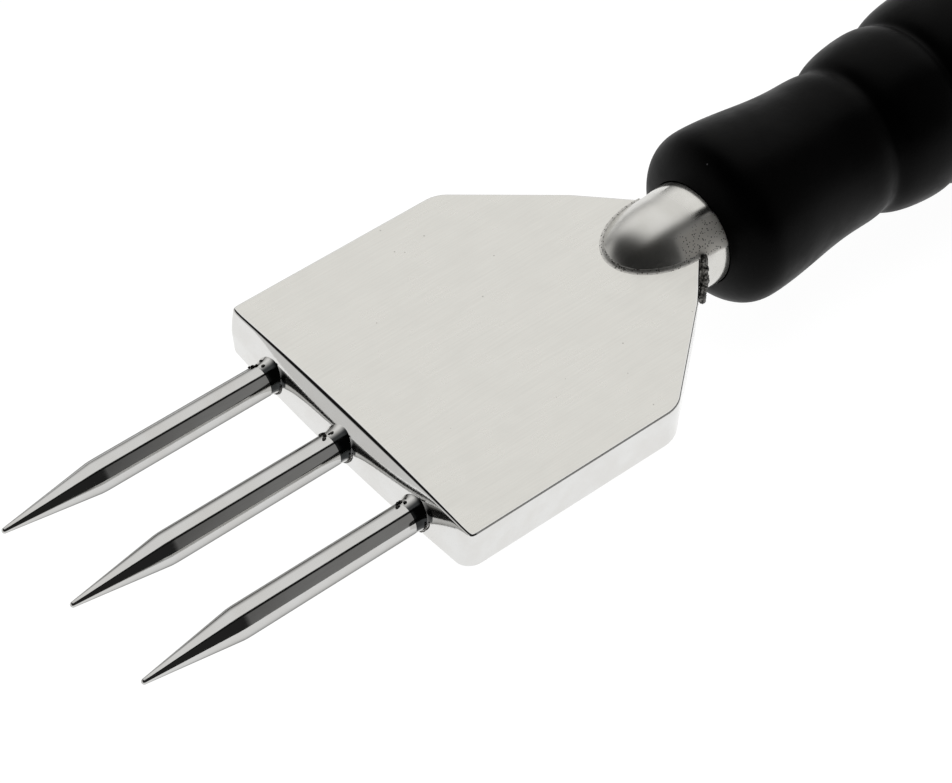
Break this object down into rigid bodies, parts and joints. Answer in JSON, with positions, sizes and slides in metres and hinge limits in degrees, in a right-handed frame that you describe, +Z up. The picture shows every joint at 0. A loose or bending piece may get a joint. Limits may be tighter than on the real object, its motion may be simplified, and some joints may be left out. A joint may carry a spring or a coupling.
{
  "type": "three-tine ice pick",
  "caption": "Hand tool with a flat steel head, pointed tines in a row, a welded round shank and a ridged black grip, for chipping ice.",
  "frame": {"origin": "middle of the tool's footprint as it lies with the head's broad face up, level with the lowest point of the grip", "axes": "+X along the tool from the handle to the tine tips, +Y across the head, +Z up out of the head's broad face"},
  "size_m": [0.206, 0.045, 0.0301],
  "materials": {
    "satin_steel": "stainless steel, fine lengthwise satin grain on the broad faces, polished edges",
    "polished_steel": "stainless steel, turned and buffed bright",
    "weld_steel": "weld bead with dark polishing residue",
    "zinc_steel": "zinc plated",
    "grip_rubber": "matte black moulded soft plastic with a faint sheen",
    "core_plastic": "hard black moulded plastic"
  },
  "bodies": {
    "root": {"head_plate": "satin_steel", "tine_left": "polished_steel", "tine_middle": "polished_steel", "tine_right": "polished_steel", "weld_left": "weld_steel", "weld_middle": "weld_steel", "weld_right": "weld_steel", "shank": "polished_steel", "handle_core": "core_plastic", "grip": "grip_rubber", "washer": "zinc_steel", "lock_nut": "zinc_steel", "butt_cap": "core_plastic"}
  },
  "joints": []
}
